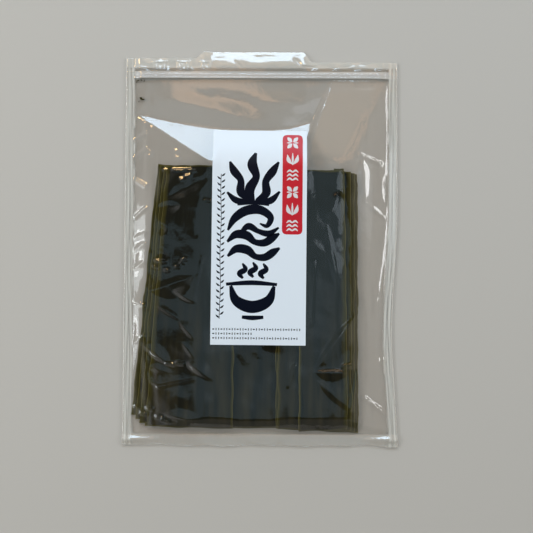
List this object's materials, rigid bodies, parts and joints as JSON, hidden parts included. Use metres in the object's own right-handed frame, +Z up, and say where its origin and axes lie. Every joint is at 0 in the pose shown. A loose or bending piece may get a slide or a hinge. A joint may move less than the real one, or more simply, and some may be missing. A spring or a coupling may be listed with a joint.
{
  "type": "clear zip pouch of dried kelp sheets",
  "caption": "Flat clear zip-seal pouch, sealed on its sides and bottom, packed with a stack of dried kelp sheets and carrying a tall paper label; it lies label side up.",
  "frame": {"origin": "on the surface that the pouch lies on, under the middle of the pouch's outline", "axes": "+Y from the bottom seal to the zip and top edge, +X to the right seen from the label side, +Z up through the label"},
  "size_m": [0.24, 0.346, 0.0137],
  "materials": {
    "clear_film": "clear laminated film, glossy, over dark green kelp",
    "zip_profile": "clear extruded profile, glossy",
    "label_paper": "coated white paper with black and red print, semi-gloss",
    "dried_kelp": "dried kelp, satin, greenish black with olive margins"
  },
  "bodies": {
    "root": {"pouch": "clear_film", "zip_track": "zip_profile", "label": "label_paper"}
  },
  "joints": []
}
